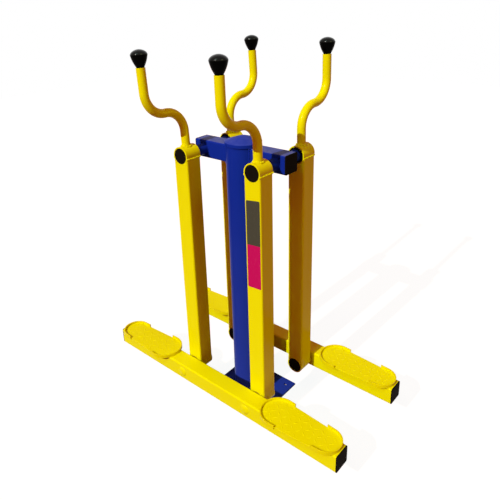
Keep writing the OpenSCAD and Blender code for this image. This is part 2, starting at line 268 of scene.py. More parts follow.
@dataclass(frozen=True)
class PowderCoat:
    """Baked paint on steel: even colour, faint orange peel and softened edges.

    Sharp edges are painted lighter, for thinner powder and a painted highlight. Faces that look up near
    one height get a paler colour: dust, and on the blue finishes painted sky reflection, stronger on
    their edges as a painted highlight. A painted reflected light fades out upwards from the ground.
    """

    name: str
    colour: Colour
    deep_colour: Colour
    thin_edge_and_highlight_colour: Colour
    dust_and_sky_colour: Colour
    roughness: float = 0.22
    coat: float = 0.022
    sheen_level: float = 0.025
    edge_radius: float = 0.8 * MM
    peel_per_metre: float = 330.0
    peel_depth: float = 0.045 * MM
    dust_and_sky_share: float = 0.10
    dust_and_sky_height: float = 0.960
    dust_and_sky_reach: float = 0.8 * MM
    painted_bounce_share: float = 0.0
    painted_bounce_height: float = 0.80
    drift_per_metre: float = 7.0
    drift_share: float = 0.55
    drift_roughness: float = 0.05
    grain_per_metre: float = 1400.0
    grain_share: float = 0.12
    grain_relief: float = 0.12
    thin_edge_and_highlight_share: float = 0.45
    dust_and_sky_per_metre: float = 55.0
    dust_and_highlight_on_edges: float = 1.5
    dust_and_sky_roughness: float = 0.10
    coat_roughness: float = 0.10
    peel_strength: float = 0.35

    def build(self) -> Material:
        """Makes the paint.

        Returns:
            The material.
        """
        g = ShaderGraph(self.name)
        drift = g.noise(self.drift_per_metre, detail=3.0)
        grain = g.noise(self.grain_per_metre, detail=1.0)
        rounded = g.rounded_normal(self.edge_radius)
        edge = g.edges(rounded)
        height = g.split(g.place)[2]
        # Upward faces near one height turn paler: dust, and on the blue finishes painted sky reflection, with
        # a painted highlight on their edges.
        on_ledge = (height - self.dust_and_sky_height).math("ABSOLUTE") < self.dust_and_sky_reach
        dust_and_highlight_spread = g.noise(self.dust_and_sky_per_metre, detail=4.0) + edge * self.dust_and_highlight_on_edges
        dust_and_sky = on_ledge * g.facing_up() * dust_and_highlight_spread
        # Painted reflected light from below: paler towards the ground and gone higher up.
        painted_bounce = ((self.painted_bounce_height - height) * (1.0 / self.painted_bounce_height)).clamp()
        deep = (drift * self.drift_share + grain * self.grain_share).clamp()
        tone = g.mix(deep, self.colour, self.deep_colour)
        # Sharp edges are painted lighter: thinner powder there, and a painted highlight.
        tone = g.mix(edge * self.thin_edge_and_highlight_share, tone, self.thin_edge_and_highlight_colour)
        tone = g.mix(dust_and_sky * self.dust_and_sky_share, tone, self.dust_and_sky_colour)
        tone = g.mix(painted_bounce * self.painted_bounce_share, tone, self.dust_and_sky_colour)
        peel = g.noise(self.peel_per_metre, detail=2.0) + grain * self.grain_relief
        return g.finish(
            Base_Color=tone,
            Roughness=self.roughness + dust_and_sky * self.dust_and_sky_roughness + drift * self.drift_roughness,
            Specular_IOR_Level=self.sheen_level,
            Coat_Weight=self.coat,
            Coat_Roughness=self.coat_roughness,
            Normal=g.bump(peel, self.peel_depth, self.peel_strength, rounded),
        )


@dataclass(frozen=True)
class MouldedPlastic:
    """Black moulded plastic or rubber with a fine grain and pale rubbed edges.

    Hands polish the upward faces by hand_gloss, and dirt covers what lies under soiled_height.
    """

    name: str
    colour: Colour
    rubbed_colour: Colour
    roughness: float
    grain_per_metre: float
    grain_depth: float
    edge_radius: float
    specular_level: float = 0.04
    hand_gloss: float = 0.0
    hand_colour: Colour = (32, 31, 29)
    soiled_colour: Colour = (176, 150, 24)
    soiled_share: float = 0.0
    soiled_height: float = 0.30
    hand_gain: float = 3.0
    rubbed_share: float = 0.30
    cloud_per_metre: float = 24.0
    cloud_share: float = 0.10
    cloud_roughness: float = 0.12
    grain_strength: float = 0.5

    def build(self) -> Material:
        """Makes the plastic.

        Returns:
            The material.
        """
        g = ShaderGraph(self.name)
        rounded = g.rounded_normal(self.edge_radius)
        grain = g.noise(self.grain_per_metre, detail=3.0)
        cloud = g.noise(self.cloud_per_metre, detail=3.0)
        rubbed = g.edges(rounded) * self.rubbed_share + cloud * self.cloud_share
        tone = g.mix(rubbed, self.colour, self.rubbed_colour)
        soiled = (g.split(g.place)[2] < self.soiled_height) * self.soiled_share
        tone = g.mix(soiled, tone, self.soiled_colour)
        handled = (g.facing_up() * self.hand_gain).clamp() * self.hand_gloss
        return g.finish(
            Base_Color=g.mix(handled, tone, self.hand_colour),
            Metallic=handled,
            Roughness=self.roughness + cloud * self.cloud_roughness,
            Specular_IOR_Level=self.specular_level,
            Normal=g.bump(grain, self.grain_depth, self.grain_strength, rounded),
        )


@dataclass(frozen=True)
class TurnedSteel:
    """Bare steel turned on a lathe, with fine rings round the axles."""

    name: str
    colour: Colour
    dark_colour: Colour
    roughness: float
    edge_radius: float = 0.4 * MM
    rings_per_metre: Point = (9.0, 2600.0, 9.0)
    ring_depth: float = 0.03 * MM
    ring_strength: float = 0.4
    ring_share: float = 0.2
    ring_roughness: float = 0.12
    stain_per_metre: float = 90.0
    stain_share: float = 0.5
    stain_roughness: float = 0.08

    def build(self) -> Material:
        """Makes the steel.

        Returns:
            The material.
        """
        g = ShaderGraph(self.name)
        rings = g.noise(1.0, detail=2.0, stretch=self.rings_per_metre)
        stain = g.noise(self.stain_per_metre, detail=4.0)
        dark = stain * self.stain_share + rings * self.ring_share
        rounded = g.rounded_normal(self.edge_radius)
        return g.finish(
            Base_Color=g.mix(dark, self.colour, self.dark_colour),
            Metallic=1.0,
            Roughness=self.roughness + rings * self.ring_roughness + stain * self.stain_roughness,
            Normal=g.bump(rings, self.ring_depth, self.ring_strength, rounded),
        )


@dataclass(frozen=True)
class PrintedVinyl:
    """Satin label film in two plain fields of colour that meet at a slightly sloping line."""

    name: str
    upper_colour: Colour
    lower_colour: Colour
    scuff_colour: Colour
    meeting_height: float
    meeting_slope: float
    roughness: float = 0.38
    specular_level: float = 0.05
    scuffs_per_metre: Point = (900.0, 900.0, 60.0)
    scuff_floor: float = 0.62
    scuff_share: float = 0.8
    scuff_roughness: float = 0.12
    ripples_per_metre: float = 120.0
    ripple_depth: float = 0.08 * MM
    ripple_strength: float = 0.3

    def build(self) -> Material:
        """Makes the label film.

        Returns:
            The material.
        """
        g = ShaderGraph(self.name)
        across, _, up = g.split(g.place)
        height = up - across * self.meeting_slope
        scuffs = g.noise(1.0, detail=4.0, stretch=self.scuffs_per_metre)
        scuffed = (scuffs - self.scuff_floor).clamp() * self.scuff_share
        fields = g.mix(height > self.meeting_height, self.lower_colour, self.upper_colour)
        ripples = g.noise(self.ripples_per_metre, detail=2.0)
        return g.finish(
            Base_Color=g.mix(scuffed, fields, self.scuff_colour),
            Roughness=self.roughness + scuffs * self.scuff_roughness,
            Specular_IOR_Level=self.specular_level,
            Normal=g.bump(ripples, self.ripple_depth, self.ripple_strength),
        )


class Finish(Enum):
    """The finishes that the walker's pieces wear, with colours as a screen shows them."""

    # Paler upward faces on the crossbar's top are dust and painted sky reflection. The paler lower post is
    # painted reflected light.
    BLUE = PowderCoat(
        "blue_powder_coat", (20, 45, 148), (13, 34, 128), (36, 64, 180), (138, 142, 158),
        roughness=0.26, coat=0.010, sheen_level=0.010, dust_and_sky_share=0.47, painted_bounce_share=0.045
    )
    TRODDEN_BLUE = PowderCoat(
        "blue_plate_coat", (34, 54, 148), (22, 42, 132), (52, 76, 176), (138, 142, 158),
        roughness=0.34, coat=0.010, sheen_level=0.010
    )
    # The cap's upward faces and their edges carry a pale blue: painted sky light, and a painted highlight on
    # the rim.
    SKY_LIT_BLUE = PowderCoat(
        "blue_cap_coat", (20, 45, 148), (13, 34, 128), (36, 64, 180), (110, 125, 215),
        roughness=0.26, coat=0.010, sheen_level=0.010,
        dust_and_sky_share=0.27, dust_and_sky_height=0.985, dust_and_sky_reach=30.0 * MM
    )
    YELLOW = PowderCoat("yellow_powder_coat", (229, 224, 0), (223, 214, 0), (240, 234, 12), (232, 224, 20))
    # A slightly darker copy of the yellow paint for the footplate rims: painted shade.
    RIM_YELLOW_PAINTED_SHADE = PowderCoat("yellow_rim_coat_painted_shade", (225, 215, 0), (218, 205, 0), (235, 225, 10), (228, 216, 20))
    PLASTIC = MouldedPlastic(
        "black_moulded_plastic", (20, 17, 11), (44, 41, 36), roughness=0.50,
        grain_per_metre=900.0, grain_depth=0.05 * MM, edge_radius=1.2 * MM, specular_level=0.006
    )
    GRIP = MouldedPlastic(
        "black_knob_plastic", (2, 2, 1), (20, 18, 16), roughness=0.13, grain_per_metre=260.0,
        grain_depth=0.004 * MM, edge_radius=1.0 * MM, specular_level=0.014, hand_gloss=1.0
    )
    RUBBER = MouldedPlastic(
        "black_seal_rubber", (13, 13, 13), (38, 38, 38), roughness=0.68,
        grain_per_metre=500.0, grain_depth=0.08 * MM, edge_radius=0.6 * MM, soiled_share=0.75
    )
    STEEL = TurnedSteel("turned_steel", (168, 170, 174), (104, 100, 96), roughness=0.34)
    BEARING = TurnedSteel("bearing_steel", (196, 198, 202), (150, 150, 152), roughness=0.16)
    LABEL = PrintedVinyl(
        "two_tone_label", (66, 65, 52), (186, 12, 86), (170, 164, 154),
        meeting_height=0.6893, meeting_slope=0.098
    )

    def material(self) -> Material:
        """Returns the finish's material, made the first time it is asked for."""
        return bpy.data.materials.get(self.value.name) or self.value.build()


class Side(Enum):
    """The two foot beams, by the sign of their Y."""

    NEAR = -1.0
    FAR = 1.0


class End(Enum):
    """The two ends of the crossbar and of the foot beams, by the sign of their X."""

    LEFT = -1.0
    RIGHT = 1.0


def new_object(name: str, mesh: Mesh) -> bpy.types.Object:
    """Puts a mesh into the scene as an object at the origin.

    Args:
        name: the object's name.
        mesh: its mesh.

    Returns:
        The object.
    """
    piece = bpy.data.objects.new(name, mesh)
    bpy.context.scene.collection.objects.link(piece)
    return piece


def bridge(shape: bmesh.types.BMesh, rings: list[list[bmesh.types.BMVert]]) -> None:
    """Closes the bands between rings of vertices with four-sided faces.

    Args:
        shape: what the faces are added to.
        rings: rings of equally many vertices, in order.
    """
    for low, high in zip(rings, rings[1:]):
        for i in range(len(low)):
            j = (i + 1) % len(low)
            shape.faces.new((low[i], low[j], high[j], high[i]))


def closed_mesh(name: str, shape: bmesh.types.BMesh) -> Mesh:
    """Turns a closed shape's faces outwards and makes it a mesh.

    Args:
        name: the mesh's name.
        shape: the shape, which is freed.

    Returns:
        The mesh.
    """
    bmesh.ops.recalc_face_normals(shape, faces=shape.faces)
    mesh = bpy.data.meshes.new(name)
    shape.to_mesh(mesh)
    shape.free()
    return mesh


@dataclass
class Piece:
    """A finished object and what carries it."""

    name: str
    body: str
    slot: str
    finish: Finish

    @classmethod
    def yellow(cls, name: str, body: str) -> Piece:
        """Returns a piece in the arms' and beams' paint."""
        return cls(name, body, "yellow_paint", Finish.YELLOW)

    @classmethod
    def blue(cls, name: str, body: str) -> Piece:
        """Returns a piece in the stand's paint."""
        return cls(name, body, "blue_paint", Finish.BLUE)

    def place(self, mesh: Mesh, smooth_degrees: float) -> None:
        """Puts a mesh into the scene on its body, shaded smooth.

        Args:
            mesh: the piece's mesh, with its place in its vertices.
            smooth_degrees: edges sharper than this stay crisp.
        """
        mesh.materials.clear()
        mesh.materials.append(self.finish.material())
        for polygon in mesh.polygons:
            polygon.use_smooth = True
        mesh.set_sharp_from_angle(angle=math.radians(smooth_degrees))
        piece = new_object(self.name, mesh)
        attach(piece, self.body)
        LOG.info("%s rides on %s: %d faces", self.name, self.body, len(mesh.polygons))


class GeometryGraph(Graph):
    """A Geometry Nodes tree with named inputs, run once on a mesh and turned into a plain mesh."""

    def __init__(self, name: str, sizes: dict[str, float]) -> None:
        """Makes the tree.

        Args:
            name: the tree's name.
            sizes: named number inputs with their values.
        """
        super().__init__(bpy.data.node_groups.new(name, "GeometryNodeTree"))
        self.sizes = sizes
        face = self.tree.interface
        face.new_socket("Geometry", in_out="INPUT", socket_type="NodeSocketGeometry")
        for key in sizes:
            face.new_socket(key, in_out="INPUT", socket_type="NodeSocketFloat")
        face.new_socket("Seed", in_out="INPUT", socket_type="NodeSocketInt")
        face.new_socket("Finish", in_out="INPUT", socket_type="NodeSocketMaterial")
        face.new_socket("Geometry", in_out="OUTPUT", socket_type="NodeSocketGeometry")
        self.entry = self.tree.nodes.new("NodeGroupInput")

    def given(self, name: str) -> Expr:
        """Returns a named input."""
        return Expr(self, self.entry.outputs[name])

    def close(self, instances: Expr) -> None:
        """Ends the tree: instances become real faces that carry the finish.

        Args:
            instances: what the tree has made.
        """
        real = self.node("GeometryNodeRealizeInstances", {}, {0: instances})
        dressed = {"Geometry": real, "Material": self.given("Finish")}
        self.add("NodeGroupOutput", {}, {0: self.node("GeometryNodeSetMaterial", {}, dressed)})

    def run(self, mesh: Mesh, seed: int, finish: Finish) -> Mesh:
        """Runs the tree on a mesh.

        Args:
            mesh: what the tree works on.
            seed: fixes everything random.
            finish: what the result wears.

        Returns:
            The result as a plain mesh.
        """
        host = new_object(self.tree.name + "_host", mesh)
        modifier = host.modifiers.new(self.tree.name, "NODES")
        modifier.node_group = self.tree
        values = self.sizes | {"Seed": seed, "Finish": finish.material()}
        for item in self.tree.interface.items_tree:
            if item.in_out == "INPUT" and item.name in values:
                modifier[item.identifier] = values[item.name]
        seen = host.evaluated_get(bpy.context.evaluated_depsgraph_get())
        result = bpy.data.meshes.new_from_object(seen)
        host.modifiers.remove(modifier)
        bpy.data.objects.remove(host)
        return result


def path_mesh(name: str, seams: list[Seam]) -> Mesh:
    """Makes a mesh of bare edges along seams.

    Args:
        name: the mesh's name.
        seams: each seam's points and whether it closes on itself.

    Returns:
        The mesh.
    """
    points: list[Point] = []
    edges: list[tuple[int, int]] = []
    for path, closed in seams:
        first = len(points)
        points.extend(path)
        edges.extend((first + i, first + i + 1) for i in range(len(path) - 1))
        if closed:
            edges.append((first + len(path) - 1, first))
    mesh = bpy.data.meshes.new(name)
    mesh.from_pydata(points, edges, [])
    return mesh


def ring_path(centre: Point, radius: float, point: Callable[[float, float], Point], steps: int) -> Path:
    """Sets points round a ring.

    Args:
        centre: the ring's middle.
        radius: the ring's radius.
        point: turns the ring's own two coordinates into an offset.
        steps: number of points.

    Returns:
        The points, in order.
    """
    out = []
    for i in range(steps):
        angle = FULL_TURN * i / steps
        x, y, z = point(radius * math.cos(angle), radius * math.sin(angle))
        out.append((centre[0] + x, centre[1] + y, centre[2] + z))
    return out


@dataclass
class WeldSeams:
    """Rows of overlapping beads along paths, as a welder lays them."""

    bead_radius: float = 2.6 * MM
    bead_pitch: float = 2.5 * MM
    bead_length_share: float = 0.62
    wander: float = 0.35 * MM
    smallest_share: float = 0.82
    largest_share: float = 1.12
    facets: int = 2
    smooth_degrees: float = 60.0

    # Socket numbers of a Random Value node that gives plain numbers.
    FLOAT_MIN, FLOAT_MAX, FLOAT_OUT = 2, 3, 1

    def tree(self) -> GeometryGraph:
        """Makes the node tree that lays beads along every edge chain of its mesh.

        Returns:
            The tree.
        """
        g = GeometryGraph(
            "weld_beads",
            {
                "Bead Radius": self.bead_radius,
                "Bead Pitch": self.bead_pitch,
                "Length Share": self.bead_length_share,
                "Wander": self.wander,
                "Smallest": self.smallest_share,
                "Largest": self.largest_share,
            },
        )
        radius, wander, seed = g.given("Bead Radius"), g.given("Wander"), g.given("Seed")
        line = g.node("GeometryNodeMeshToCurve", {}, {0: g.given("Geometry")})
        spacing = {"Curve": line, "Length": g.given("Bead Pitch")}
        even = g.node("GeometryNodeResampleCurve", {"mode": "LENGTH"}, spacing)
        turn = g.node("GeometryNodeInputTangent", {}, {})
        captured = g.add("GeometryNodeCaptureAttribute", {"domain": "POINT"}, {})
        captured.capture_items.new("VECTOR", "Tangent")
        g.tree.links.new(even.socket, captured.inputs["Geometry"])
        g.tree.links.new(turn.socket, captured.inputs["Tangent"])
        points = g.node("GeometryNodeCurveToPoints", {"mode": "EVALUATED"}, {0: captured.outputs["Geometry"]})
        back = -1.0 * wander
        reach = {"Min": g.join(back, back, back), "Max": g.join(wander, wander, wander), "Seed": seed}
        drift = g.node("FunctionNodeRandomValue", {"data_type": "FLOAT_VECTOR"}, reach)
        points = g.node("GeometryNodeSetPosition", {}, {"Geometry": points, "Offset": drift})
        tangent = {"Vector": captured.outputs["Tangent"]}
        along = g.node("FunctionNodeAlignRotationToVector", {"axis": "X"}, tangent)
        limits = {self.FLOAT_MIN: g.given("Smallest"), self.FLOAT_MAX: g.given("Largest"), "Seed": seed}
        size = g.node("FunctionNodeRandomValue", {"data_type": "FLOAT"}, limits, self.FLOAT_OUT) * radius
        bead = g.node("GeometryNodeMeshIcoSphere", {}, {"Radius": 1.0, "Subdivisions": self.facets})
        scale = g.join(size * g.given("Length Share"), size, size)
        inputs = {"Points": points, "Instance": bead, "Rotation": along, "Scale": scale}
        g.close(g.node("GeometryNodeInstanceOnPoints", {}, inputs))
        return g

    def lay(self, piece: Piece, seams: list[Seam], seed: int) -> None:
        """Lays beads along seams and places them, with their drift and size fixed by the seed."""
        beads = self.tree().run(path_mesh(piece.name + "_path", seams), seed, piece.finish)
        piece.place(beads, self.smooth_degrees)


@dataclass
class Stand:
    """The welds that join base plate, post, crossbar and collars."""

    axle_height: float = UPPER_AXLE_HEIGHT
    axle_spacing: float = AXLE_SPACING
    post_radius: float = 57.15 * MM
    plate_thickness: float = 6.0 * MM
    crossbar_width: float = TUBE_WIDTH
    collar_radius: float = 19.0 * MM
    throat: float = 1.0 * MM
    post_seed: int = 11
    collar_seed: int = 12

    def foot_weld(self) -> Path:
        """Returns the ring where the post meets the base plate."""
        centre = (0.0, 0.0, self.plate_thickness + self.throat)
        return ring_path(centre, self.post_radius + self.throat, lambda x, y: (x, y, 0.0), steps=120)

    def crossbar_weld(self, end: End) -> Path:
        """Goes round the crossbar where it comes out of the post.

        Args:
            end: the end of the crossbar that the weld is nearer to.

        Returns:
            The weld's outline.
        """

        def depth(y: float) -> float:
            """Returns how far the post's surface is from its axis, along the crossbar."""
            return math.sqrt(self.post_radius**2 - y**2) + self.throat

        half = self.crossbar_width / 2.0 + self.throat
        steps = 14
        spans = [-half + 2.0 * half * i / steps for i in range(steps)]
        square = [(s, -half) for s in spans] + [(half, s) for s in spans]
        square += [(-s, half) for s in spans] + [(-half, -s) for s in spans]
        return [(end.value * depth(y), y, self.axle_height + z) for y, z in square]

    def collar_weld(self, side: Side, end: End) -> Path:
        """Goes round a collar where it meets the crossbar.

        Args:
            side: the crossbar's side.
            end: the crossbar's end.

        Returns:
            The weld's ring.
        """
        face = side.value * (self.crossbar_width / 2.0 + self.throat / 2.0)
        centre = (end.value * self.axle_spacing / 2.0, face, self.axle_height)
        return ring_path(centre, self.collar_radius + self.throat / 2.0, lambda x, z: (x, 0.0, z), steps=48)

    def build(self) -> None:
        """Adds the stand's welds."""
        main = [(self.foot_weld(), True)] + [(self.crossbar_weld(end), True) for end in End]
        WeldSeams().lay(Piece.blue("stand_welds", "stand"), main, self.post_seed)
        rings = [(self.collar_weld(side, end), True) for side in Side for end in End]
        fine = WeldSeams(bead_radius=1.7 * MM, bead_pitch=1.8 * MM, wander=0.15 * MM)
        fine.lay(Piece.blue("collar_welds", "stand"), rings, self.collar_seed)


@dataclass
class Arm:
    """One swinging arm: the welds that join its tube, hubs and handle."""

    side: Side
    end: End
    axle_height: float = UPPER_AXLE_HEIGHT
    axle_spacing: float = AXLE_SPACING
    middle: float = 0.109
    width: float = TUBE_WIDTH
    cope_gap: float = 8.0 * MM
    cope_steps: int = 40
    seam_inset: float = 0.4 * MM
    sunk_share: float = 0.8
    handle_radius: float = 14.0 * MM
    left_lean: float = 3.3
    right_lean: float = 0.7
    throat: float = 0.8 * MM

    @property
    def body(self) -> str:
        """Returns the name of the body that the arm is."""
        return f"{self.side.name.lower()}_{self.end.name.lower()}_arm"

    @property
    def x(self) -> float:
        """Returns the arm's place along the crossbar."""
        return self.end.value * self.axle_spacing / 2.0

    @property
    def y(self) -> float:
        """Returns the arm's middle plane."""
        return self.side.value * self.middle

    def side_seams(self) -> list[Seam]:
        """Follows the level joints between the upper hub and the tube's two sides.

        Returns:
            The seams.
        """
        half, reach = self.width / 2.0, self.width / 2.0 - self.throat
        height = self.axle_height - (self.cope_gap - self.sunk_share * self.throat)
        rows = []
        for sign in (-1.0, 1.0):
            across = self.x + sign * (half - self.seam_inset)
            rows.append(([(across, self.y - reach, height), (across, self.y + reach, height)], False))
        return rows

    def face_seams(self) -> list[Seam]:
        """Follows the curved joints that are dressed nearly flush on the tube's faces.

        Returns:
            The seams.
        """
        half = self.width / 2.0
        start = math.asin(self.cope_gap / half)
        span = math.pi - 2.0 * start
        turns = [start + span * i / self.cope_steps for i in range(self.cope_steps + 1)]
        curve = [(self.x + half * math.cos(t), self.axle_height - half * math.sin(t)) for t in turns]
        return [([(x, self.y + sign * half, z) for x, z in curve], False) for sign in (-1.0, 1.0)]

    def handle_seam(self) -> Path:
        """Goes round the handle where it stands on the upper hub.

        Returns:
            The seam, a saddle-shaped ring.
        """
        hub = self.width / 2.0
        radius = self.handle_radius + self.throat
        lean = math.radians(self.left_lean if self.end is End.LEFT else self.right_lean)

        def saddle(x: float, y: float) -> Point:
            """Returns a point of the seam, turned about the hub's axis with the handle."""
            z = math.sqrt(hub**2 - x**2) + self.throat
            return (x * math.cos(lean) - z * math.sin(lean), y, z * math.cos(lean) + x * math.sin(lean))

        return ring_path((self.x, self.y, self.axle_height), radius, saddle, steps=56)

    def build(self, seed: int) -> None:
        """Adds the arm's welds.

        Args:
            seed: fixes the beads' drift and size.
        """
        proud = WeldSeams(bead_radius=3.0 * MM, bead_pitch=4.3 * MM)
        proud.lay(Piece.yellow(self.body + "_welds", self.body), self.side_seams(), seed)
        foot = WeldSeams(bead_radius=3.4 * MM, bead_pitch=2.8 * MM)
        ring = [(self.handle_seam(), True)]
        foot.lay(Piece.yellow(self.body + "_handle_weld", self.body), ring, seed + 2)
        fine = WeldSeams(bead_radius=0.9 * MM, bead_pitch=1.3 * MM, wander=0.1 * MM, facets=1)
        fine.lay(Piece.yellow(self.body + "_dressed_seams", self.body), self.face_seams(), seed + 1)


@dataclass
class Label:
    """The plain two-tone label on the near right arm's outer face."""

    arm: Arm
    width: float = 50.6 * MM
    shift: float = 1.3 * MM
    low: float = 0.558
    high: float = 0.8473
    top_rise: float = 2.6 * MM
    foot_rise: float = 1.3 * MM
    corner: float = 4.0 * MM
    thickness: float = 0.25 * MM
    corner_steps: int = 6
    smooth_degrees: float = 30.0

    def outline(self) -> list[tuple[float, float]]:
        """Goes round the label with its rounded corners and slightly sloping ends.

        Returns:
            The outline, across and up.
        """
        half = self.width / 2.0
        quarter = math.pi / 2.0
        centres = (
            (half, self.high + self.top_rise, 0.0),
            (-half, self.high - self.top_rise, quarter),
            (-half, self.low - self.foot_rise, 2.0 * quarter),
            (half, self.low + self.foot_rise, 3.0 * quarter),
        )
        out = []
        for across, up, start in centres:
            x = across - math.copysign(self.corner, across)
            z = up - math.copysign(self.corner, up - (self.low + self.high) / 2.0)
            for i in range(self.corner_steps + 1):
                turn = start + quarter * i / self.corner_steps
                out.append((x + self.corner * math.cos(turn), z + self.corner * math.sin(turn)))
        return out

    def build(self) -> None:
        """Adds the label, a thin film on the arm's face."""
        middle, out = self.arm.x + self.shift, self.arm.side.value
        face = self.arm.y + out * self.arm.width / 2.0
        shape = bmesh.new()
        rings = [
            [shape.verts.new((middle + x, depth, z)) for x, z in self.outline()]
            for depth in (face, face + out * self.thickness)
        ]
        bridge(shape, rings)
        for ring in rings:
            shape.faces.new(ring)
        label = Piece("label", self.arm.body, "yellow_paint", Finish.LABEL)
        label.place(closed_mesh(label.name, shape), self.smooth_degrees)


@dataclass
class Footplate:
    """Raised lozenges of the tread plate in one foot well."""

    side: Side
    end: End
    beam_y: float = BEAM_MIDDLE
    top: float = 0.166
    inner_x: float = 0.265
    outer_x: float = 0.437
    inner_radius: float = 57.0 * MM
    outer_radius: float = 46.0 * MM
    pitch: float = 21.0 * MM
    margin: float = 9.0 * MM
    lozenge_length: float = 17.0 * MM
    lozenge_width: float = 4.0 * MM
    lozenge_height: float = 0.55 * MM
    lozenge_turn: float = 45.0
    lozenge_steps: int = 8
    crown: tuple[tuple[float, float], ...] = ((1.0, 0.0), (0.72, 0.75), (0.34, 1.0))
    columns: int = 15
    rows: int = 7
    smooth_degrees: float = 50.0

    def lozenge(self) -> Mesh:
        """Makes one lozenge: a lens-shaped outline under a low crowned top.

        Returns:
            The lozenge, at the origin.
        """
        shape = bmesh.new()
        turns = [math.pi * i / self.lozenge_steps for i in range(self.lozenge_steps + 1)]
        half, wide = self.lozenge_length / 2.0, self.lozenge_width / 2.0
        rings = []
        for share, lift in self.crown:
            line = [(half * share * math.cos(t), wide * share * math.sin(t)) for t in turns]
            line += [(-x, -y) for x, y in line[1:-1]]
            rings.append([shape.verts.new((x, y, self.lozenge_height * lift)) for x, y in line])
        bridge(shape, rings)
        shape.faces.new(rings[-1])
        return closed_mesh("lozenge", shape)

    def tree(self) -> GeometryGraph:
        """Makes the node tree that sets lozenges over the well, every other one turned across.

        Returns:
            The tree.
        """
        g = GeometryGraph(
            "tread_lozenges",
            {
                "Pitch": self.pitch,
                "Margin": self.margin,
                "Inner X": self.inner_x,
                "Outer X": self.outer_x,
                "Inner Radius": self.inner_radius,
                "Outer Radius": self.outer_radius,
                "End Sign": self.end.value,
                "Beam Y": self.side.value * self.beam_y,
                "Top": self.top,
            },
        )
        pitch, inner_x, outer_x = g.given("Pitch"), g.given("Inner X"), g.given("Outer X")
        wide, tall = pitch * float(self.columns - 1), pitch * float(self.rows - 1)
        cells = {"Size X": wide, "Size Y": tall, "Vertices X": self.columns, "Vertices Y": self.rows}
        points = g.node("GeometryNodeMeshToPoints", {}, {"Mesh": g.node("GeometryNodeMeshGrid", {}, cells)})
        x, y, _ = g.split(g.node("GeometryNodeInputPosition", {}, {}))
        parity = (x / pitch + y / pitch).math("ROUND").math("FLOORED_MODULO", 2.0)
        middle, length = (inner_x + outer_x) * 0.5, outer_x - inner_x
        along = ((x + middle - inner_x) / length).clamp()
        spine = inner_x + length * along
        inner, outer = g.given("Inner Radius"), g.given("Outer Radius")
        radius = inner + (outer - inner) * along
        off = g.vector_math("LENGTH", g.join(x + middle - spine, y, 0.0), output="Value")
        outside = off + g.given("Margin") > radius
        beyond = {"Geometry": points, "Selection": outside}
        points = g.node("GeometryNodeDeleteGeometry", {"domain": "POINT"}, beyond)
        turn = (parity * 2.0 - 1.0) * math.radians(self.lozenge_turn)
        twist = g.node("FunctionNodeEulerToRotation", {}, {0: g.join(0.0, 0.0, turn)})
        inputs = {"Points": points, "Instance": g.given("Geometry"), "Rotation": twist}
        tread = g.node("GeometryNodeInstanceOnPoints", {}, inputs)
        sign = g.given("End Sign")
        shift = g.join(sign * middle, g.given("Beam Y"), g.given("Top"))
        moved = {"Geometry": tread, "Translation": shift, "Scale": g.join(sign, sign, 1.0)}
        g.close(g.node("GeometryNodeTransform", {}, moved))
        return g

    def build(self) -> None:
        """Adds the well's lozenges."""
        side, end = self.side.name.lower(), self.end.name.lower()
        piece = Piece.yellow(f"{side}_{end}_tread", f"{side}_beam")
        tread = self.tree().run(self.lozenge(), seed=0, finish=piece.finish)
        piece.place(tread, self.smooth_degrees)


@dataclass
class FootBeam:
    """One foot beam: its footplates' treads, its welds and the plug welds over its axles."""

    side: Side
    axle_height: float = 0.132
    axle_spacing: float = AXLE_SPACING
    middle: float = BEAM_MIDDLE
    width: float = TUBE_WIDTH
    plug_radii_mm: tuple[float, ...] = (17.8, 17.6, 16.8, 15.2, 12.6, 9.0, 5.0, 1.5)
    plug_rises_mm: tuple[float, ...] = (-0.3, 0.35, 1.20, 2.10, 2.85, 3.40, 3.75, 3.85)
    plug_steps: int = 48
    plate_span: tuple[float, float] = (0.214, 0.478)
    throat: float = 2.2 * MM
    smooth_degrees: float = 50.0

    @property
    def body(self) -> str:
        """Returns the name of the body that the beam is."""
        return f"{self.side.name.lower()}_beam"

    def plate_seams(self) -> list[Seam]:
        """Follows the joints under the footplates, along the beam's two upper corners.

        Returns:
            The seams.
        """
        rows = []
        height = self.axle_height + self.width / 2.0 - self.throat
        for end in End:
            for sign in (-1.0, 1.0):
                y = self.side.value * self.middle + sign * (self.width / 2.0 - self.throat / 2.0)
                rows.append(([(end.value * x, y, height) for x in self.plate_span], False))
        return rows

    def plugs(self) -> Mesh:
        """Makes the low painted domes over the axle ends on the beam's outer face.

        Returns:
            Both domes as one mesh.
        """
        shape = bmesh.new()
        face = self.side.value * (self.middle + self.width / 2.0)
        for end in End:
            x = end.value * self.axle_spacing / 2.0
            rings = []
            for radius, rise in zip(self.plug_radii_mm, self.plug_rises_mm):
                centre = (x, face + self.side.value * (rise * MM), self.axle_height)
                spots = ring_path(centre, radius * MM, lambda across, up: (across, 0.0, up), self.plug_steps)
                rings.append([shape.verts.new(spot) for spot in spots])
            bridge(shape, rings)
            shape.faces.new(rings[-1])
            shape.faces.new(rings[0])
        return closed_mesh(self.body + "_plugs", shape)

    def build(self, seed: int) -> None:
        """Adds the beam's treads, welds and plugs.

        Args:
            seed: fixes the beads' drift and size.
        """
        for end in End:
            Footplate(self.side, end).build()
        welds = Piece.yellow(self.body + "_welds", self.body)
        WeldSeams(bead_radius=2.6 * MM, bead_pitch=3.0 * MM).lay(welds, self.plate_seams(), seed)
        Piece.yellow(self.body + "_plugs", self.body).place(self.plugs(), self.smooth_degrees)


